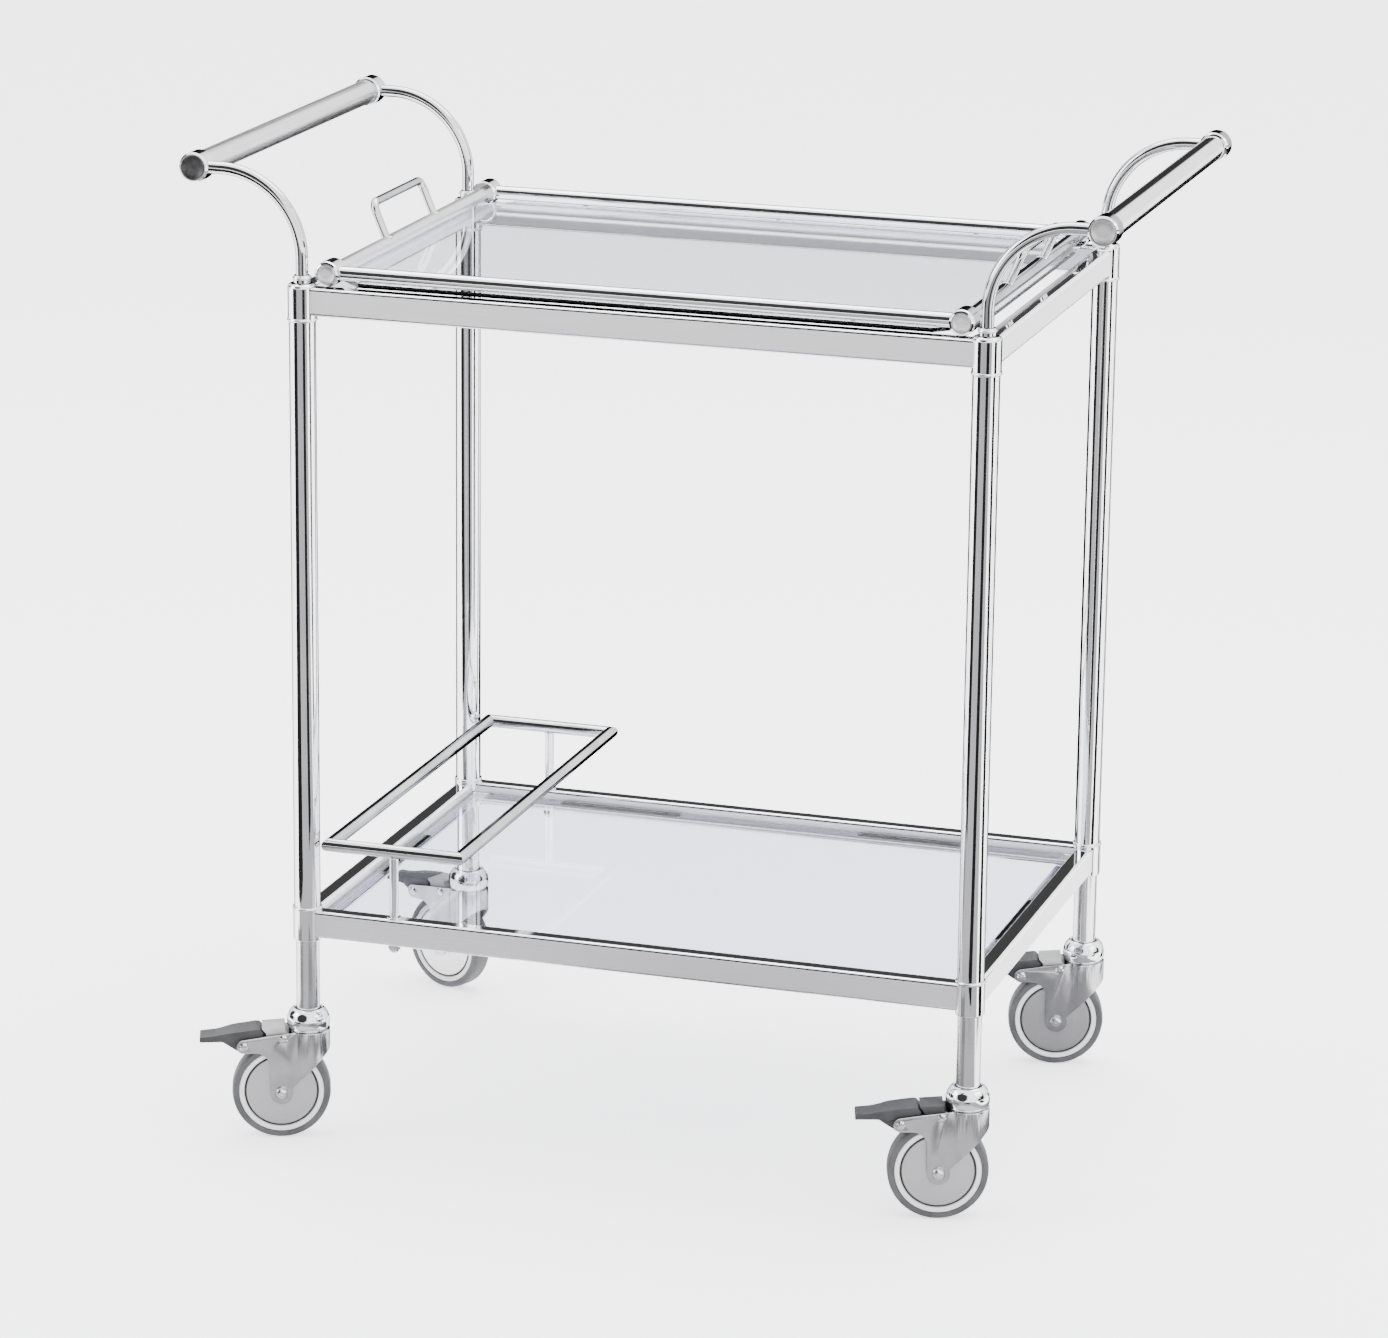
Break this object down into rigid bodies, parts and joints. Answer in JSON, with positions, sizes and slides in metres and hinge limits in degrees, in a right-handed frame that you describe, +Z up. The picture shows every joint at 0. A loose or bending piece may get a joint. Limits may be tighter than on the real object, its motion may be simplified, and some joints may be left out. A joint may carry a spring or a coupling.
{
  "type": "serving trolley",
  "caption": "Chrome tube bar cart on braked swivel casters with a lift-off glass tray, a glass shelf with a bottle guard and a push handle at each end.",
  "frame": {"origin": "on the floor, midway between the four posts", "axes": "+X from the left push handle to the right one, +Y from the front to the back, +Z up"},
  "size_m": [0.847, 0.5206, 0.9055],
  "materials": {
    "polished_chrome": "mirror polished chrome plate",
    "satin_chrome": "soft bright chrome plate",
    "zinc_plate": "zinc plated pressed steel",
    "bright_steel": "bright steel",
    "wheel_core": "satin light grey",
    "grey_rubber": "mid grey non-marking rubber",
    "dark_plastic": "dark grey moulded plastic",
    "light_plastic": "light grey moulded plastic",
    "shelf_glass": "pale reflective tempered glass",
    "clear_glass": "clear tempered glass, polished edge",
    "clear_pad": "clear rubber strip"
  },
  "bodies": {
    "frame": {"bottle_guard": "polished_chrome", "caster_plugs": "bright_steel", "grip_caps": "polished_chrome", "grip_left": "polished_chrome", "grip_right": "polished_chrome", "guard_nuts": "polished_chrome", "guard_stanchions": "polished_chrome", "handle_arm_back_left": "polished_chrome", "handle_arm_back_right": "polished_chrome", "handle_arm_front_left": "polished_chrome", "handle_arm_front_right": "polished_chrome", "leg_tubes": "polished_chrome", "lower_rail_back": "satin_chrome", "lower_rail_front": "satin_chrome", "lower_rail_left": "satin_chrome", "lower_rail_right": "satin_chrome", "lower_sleeves": "polished_chrome", "post_back_left": "polished_chrome", "post_back_right": "polished_chrome", "post_front_left": "polished_chrome", "post_front_right": "polished_chrome", "shelf_glass": "shelf_glass", "shelf_pads": "clear_pad", "top_collars": "polished_chrome", "upper_rail_back": "satin_chrome", "upper_rail_front": "satin_chrome", "upper_rail_left": "satin_chrome", "upper_rail_right": "satin_chrome"},
    "tray": {"tray_glass": "clear_glass", "tray_corner_sleeves": "polished_chrome", "tray_tube_front": "polished_chrome", "tray_tube_back": "polished_chrome", "tray_tube_left": "polished_chrome", "tray_tube_right": "polished_chrome", "tray_handle_left": "polished_chrome", "tray_handle_right": "polished_chrome"},
    "caster_front_left": {"caster_fork_front_left": "zinc_plate", "axle_pins_front_left": "bright_steel", "brake_block_front_left": "light_plastic"},
    "wheel_body_front_left": {"wheel_front_left": "wheel_core", "tyre_front_left": "grey_rubber"},
    "brake_front_left": {"brake_pedal_front_left": "dark_plastic"},
    "caster_front_right": {"caster_fork_front_right": "zinc_plate", "axle_pins_front_right": "bright_steel", "brake_block_front_right": "light_plastic"},
    "wheel_body_front_right": {"wheel_front_right": "wheel_core", "tyre_front_right": "grey_rubber"},
    "brake_front_right": {"brake_pedal_front_right": "dark_plastic"},
    "caster_back_left": {"caster_fork_back_left": "zinc_plate", "axle_pins_back_left": "bright_steel", "brake_block_back_left": "light_plastic"},
    "wheel_body_back_left": {"wheel_back_left": "wheel_core", "tyre_back_left": "grey_rubber"},
    "brake_back_left": {"brake_pedal_back_left": "dark_plastic"},
    "caster_back_right": {"caster_fork_back_right": "zinc_plate", "axle_pins_back_right": "bright_steel", "brake_block_back_right": "light_plastic"},
    "wheel_body_back_right": {"wheel_back_right": "wheel_core", "tyre_back_right": "grey_rubber"},
    "brake_back_right": {"brake_pedal_back_right": "dark_plastic"}
  },
  "joints": [
    {"name": "tray_lift", "type": "slide", "parent": "frame", "child": "tray", "axis": [0, 0, 1], "range_m": [0, 0.15]},
    {"name": "swivel_front_left", "type": "hinge", "parent": "frame", "child": "caster_front_left", "pos_m": [-0.311, -0.213, 0.11], "axis": [0, 0, 1], "continuous": true},
    {"name": "wheel_spin_front_left", "type": "hinge", "parent": "caster_front_left", "child": "wheel_body_front_left", "pos_m": [-0.33418, -0.22237, 0.045], "axis": [-0.3746, 0.9272, 0], "continuous": true},
    {"name": "brake_press_front_left", "type": "hinge", "parent": "caster_front_left", "child": "brake_front_left", "pos_m": [-0.3657, -0.2351, 0.09], "axis": [0.3746, -0.9272, 0], "range_deg": [0, 13]},
    {"name": "swivel_front_right", "type": "hinge", "parent": "frame", "child": "caster_front_right", "pos_m": [0.311, -0.213, 0.11], "axis": [0, 0, 1], "continuous": true},
    {"name": "wheel_spin_front_right", "type": "hinge", "parent": "caster_front_right", "child": "wheel_body_front_right", "pos_m": [0.28722, -0.22073, 0.045], "axis": [-0.309, 0.9511, 0], "continuous": true},
    {"name": "brake_press_front_right", "type": "hinge", "parent": "caster_front_right", "child": "brake_front_right", "pos_m": [0.25489, -0.23123, 0.09], "axis": [0.309, -0.9511, 0], "range_deg": [0, 13]},
    {"name": "swivel_back_left", "type": "hinge", "parent": "frame", "child": "caster_back_left", "pos_m": [-0.311, 0.213, 0.11], "axis": [0, 0, 1], "continuous": true},
    {"name": "wheel_spin_back_left", "type": "hinge", "parent": "caster_back_left", "child": "wheel_body_back_left", "pos_m": [-0.33418, 0.22237, 0.045], "axis": [0.3746, 0.9272, 0], "continuous": true},
    {"name": "brake_press_back_left", "type": "hinge", "parent": "caster_back_left", "child": "brake_back_left", "pos_m": [-0.3657, 0.2351, 0.09], "axis": [-0.3746, -0.9272, 0], "range_deg": [0, 13]},
    {"name": "swivel_back_right", "type": "hinge", "parent": "frame", "child": "caster_back_right", "pos_m": [0.311, 0.213, 0.11], "axis": [0, 0, 1], "continuous": true},
    {"name": "wheel_spin_back_right", "type": "hinge", "parent": "caster_back_right", "child": "wheel_body_back_right", "pos_m": [0.28697, 0.20611, 0.045], "axis": [-0.2756, 0.9613, 0], "continuous": true},
    {"name": "brake_press_back_right", "type": "hinge", "parent": "caster_back_right", "child": "brake_back_right", "pos_m": [0.25429, 0.19674, 0.09], "axis": [0.2756, -0.9613, 0], "range_deg": [0, 13]}
  ]
}
